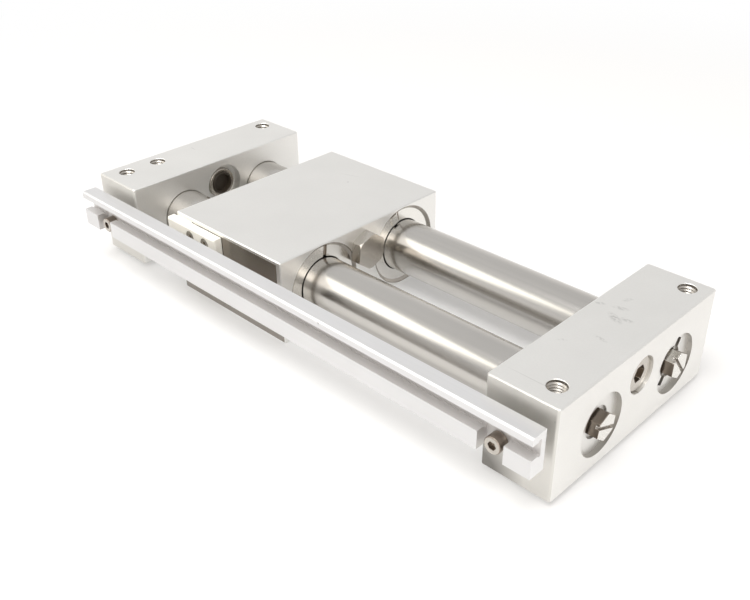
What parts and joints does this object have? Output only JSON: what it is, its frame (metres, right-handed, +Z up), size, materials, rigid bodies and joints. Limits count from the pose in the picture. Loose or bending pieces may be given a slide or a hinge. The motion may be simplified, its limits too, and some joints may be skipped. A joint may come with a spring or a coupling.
{
  "type": "rodless cylinder",
  "caption": "Magnetically coupled rodless cylinder: a square table sliding on parallel tubes between end plates, with stroke adjusters, air ports and a slotted switch rail.",
  "frame": {"origin": "centre of the bounding box at its base, the height of the table's underside", "axes": "+X along the tubes from the far to the near end plate, +Z up, switch rail towards -Y"},
  "size_m": [0.1806, 0.0754, 0.0275],
  "materials": {
    "machined_aluminium": "fine matt anodised",
    "rail_aluminium": "satin anodised",
    "tube_steel": "ground and polished",
    "ring_steel": "brushed",
    "bolt_steel": "nickel plated",
    "inner_steel": "turned",
    "magnet_nickel": "nickel plated",
    "inner_aluminium": "turned",
    "bearing_bronze": "machined",
    "seal_rubber": "matt",
    "bumper_rubber": "matt",
    "holder_plastic": "moulded",
    "guide_plastic": "moulded"
  },
  "bodies": {
    "frame": {"near_end_plate": "machined_aluminium", "far_end_plate": "machined_aluminium", "front_tube": "tube_steel", "back_tube": "tube_steel", "near_tube_plugs": "inner_aluminium", "near_plug_o_rings": "seal_rubber", "near_plate_o_rings": "seal_rubber", "near_tube_bolts": "bolt_steel", "far_tube_plugs": "inner_aluminium", "far_plug_o_rings": "seal_rubber", "far_plate_o_rings": "seal_rubber", "far_tube_bolts": "bolt_steel", "gallery_plugs": "bolt_steel", "adjuster_lock_screws": "bolt_steel", "switch_rail": "rail_aluminium", "rail_spacers": "ring_steel", "rail_screws": "bolt_steel"},
    "table": {"table_block": "machined_aluminium", "near_striker_bolt": "bolt_steel", "far_striker_bolt": "bolt_steel", "magnet_holder": "holder_plastic", "switch_magnet": "magnet_nickel", "magnet_holder_screws": "bolt_steel", "front_retaining_rings": "ring_steel", "front_wipers": "seal_rubber", "front_bushings": "bearing_bronze", "front_outer_magnets": "magnet_nickel", "front_outer_yokes": "inner_steel", "back_retaining_rings": "ring_steel", "back_wipers": "seal_rubber", "back_bushings": "bearing_bronze", "back_outer_magnets": "magnet_nickel", "back_outer_yokes": "inner_steel"},
    "front_piston": {"front_inner_magnets": "magnet_nickel", "front_inner_yokes": "inner_steel", "front_piston_shaft": "inner_steel", "front_piston_heads": "inner_aluminium", "front_piston_seals": "seal_rubber", "front_wear_rings": "guide_plastic", "front_piston_nuts": "inner_steel", "front_piston_bumpers": "bumper_rubber"},
    "back_piston": {"back_inner_magnets": "magnet_nickel", "back_inner_yokes": "inner_steel", "back_piston_shaft": "inner_steel", "back_piston_heads": "inner_aluminium", "back_piston_seals": "seal_rubber", "back_wear_rings": "guide_plastic", "back_piston_nuts": "inner_steel", "back_piston_bumpers": "bumper_rubber"},
    "near_stop_pad": {"near_bumper": "bumper_rubber"},
    "near_adjuster": {"near_adjuster_screw": "bolt_steel"},
    "far_stop_pad": {"far_bumper": "bumper_rubber"},
    "far_adjuster": {"far_adjuster_screw": "bolt_steel"}
  },
  "joints": [
    {"name": "table_slide", "type": "slide", "parent": "frame", "child": "table", "axis": [1, 0, 0], "range_m": [-0.01655, 0.07005]},
    {"name": "front_piston_slide", "type": "slide", "parent": "frame", "child": "front_piston", "axis": [1, 0, 0], "range_m": [-0.01655, 0.07005]},
    {"name": "back_piston_slide", "type": "slide", "parent": "frame", "child": "back_piston", "axis": [1, 0, 0], "range_m": [-0.01655, 0.07005]},
    {"name": "near_adjuster_travel", "type": "slide", "parent": "frame", "child": "near_stop_pad", "axis": [-1, 0, 0], "range_m": [-0.00501, 0.00001]},
    {"name": "near_adjuster_turn", "type": "hinge", "parent": "near_stop_pad", "child": "near_adjuster", "pos_m": [0.08, 0.00425, 0.0185], "axis": [-1, 0, 0], "range_deg": [-1800, 0]},
    {"name": "far_adjuster_travel", "type": "slide", "parent": "frame", "child": "far_stop_pad", "axis": [1, 0, 0], "range_m": [-0.00501, 0.00001]},
    {"name": "far_adjuster_turn", "type": "hinge", "parent": "far_stop_pad", "child": "far_adjuster", "pos_m": [-0.08, 0.00425, 0.0185], "axis": [1, 0, 0], "range_deg": [-1800, 0]}
  ],
  "couplings": [
    {"joint": "front_piston_slide", "follows": "table_slide", "ratio": 1},
    {"joint": "back_piston_slide", "follows": "table_slide", "ratio": 1},
    {"joint": "near_adjuster_travel", "follows": "near_adjuster_turn", "m_per_rad": 0.00015915},
    {"joint": "far_adjuster_travel", "follows": "far_adjuster_turn", "m_per_rad": 0.00015915}
  ]
}
